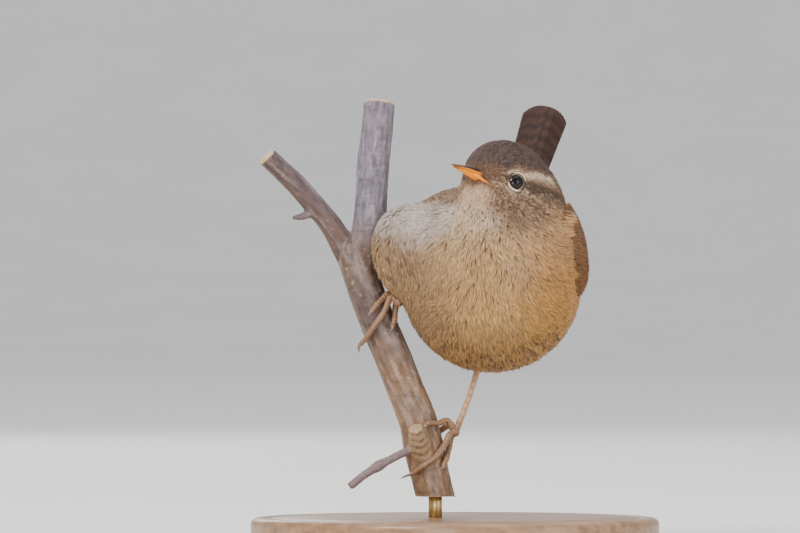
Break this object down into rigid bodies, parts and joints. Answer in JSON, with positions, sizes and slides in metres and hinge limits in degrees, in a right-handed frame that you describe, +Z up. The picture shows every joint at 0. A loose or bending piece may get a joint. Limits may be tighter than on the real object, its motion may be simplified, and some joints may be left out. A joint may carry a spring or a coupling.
{
  "type": "wren on a perch",
  "caption": "Fluffed-up brown wren with a cocked barred tail and orange bill, gripping a cut forked branch held over a round base by a short rod.",
  "frame": {"origin": "centre of the base's flat underside, on the surface that it stands on", "axes": "+Z up, +X to the bird's left and the viewer's right, -Y towards the viewer whom the breast faces"},
  "size_m": [0.096, 0.096, 0.1047],
  "materials": {
    "breast_plumage": "soft buff body feathers with fine paler and darker flecks",
    "crown_plumage": "soft grey-brown feathers with a cream brow and speckled cheeks",
    "wing_plumage": "rufous-brown vanes with narrow dark bars",
    "tail_plumage": "dark brown vanes with darker bars",
    "bill_horn": "satin orange horn with a dark grey ridge",
    "eye_gloss": "wet near-black brown",
    "leg_skin": "pinkish-brown scaled skin with pale claws",
    "bark": "thin speckled grey-brown bark, unpolished",
    "base_wood": "dark stained wood, satin",
    "rod_metal": "plain brushed metal"
  },
  "bodies": {
    "root": {"torso": "breast_plumage", "neck": "breast_plumage", "head": "crown_plumage", "bill_upper": "bill_horn", "bill_lower": "bill_horn", "eye_left": "eye_gloss", "eye_right": "eye_gloss", "wing_left": "wing_plumage", "wing_right": "wing_plumage", "tail": "tail_plumage", "leg_left": "leg_skin", "foot_left": "leg_skin", "foot_right": "leg_skin", "perch_trunk": "bark", "perch_upright_arm": "bark", "perch_left_arm": "bark", "perch_twig": "bark", "stand_base": "base_wood", "stand_rod": "rod_metal"}
  },
  "joints": []
}
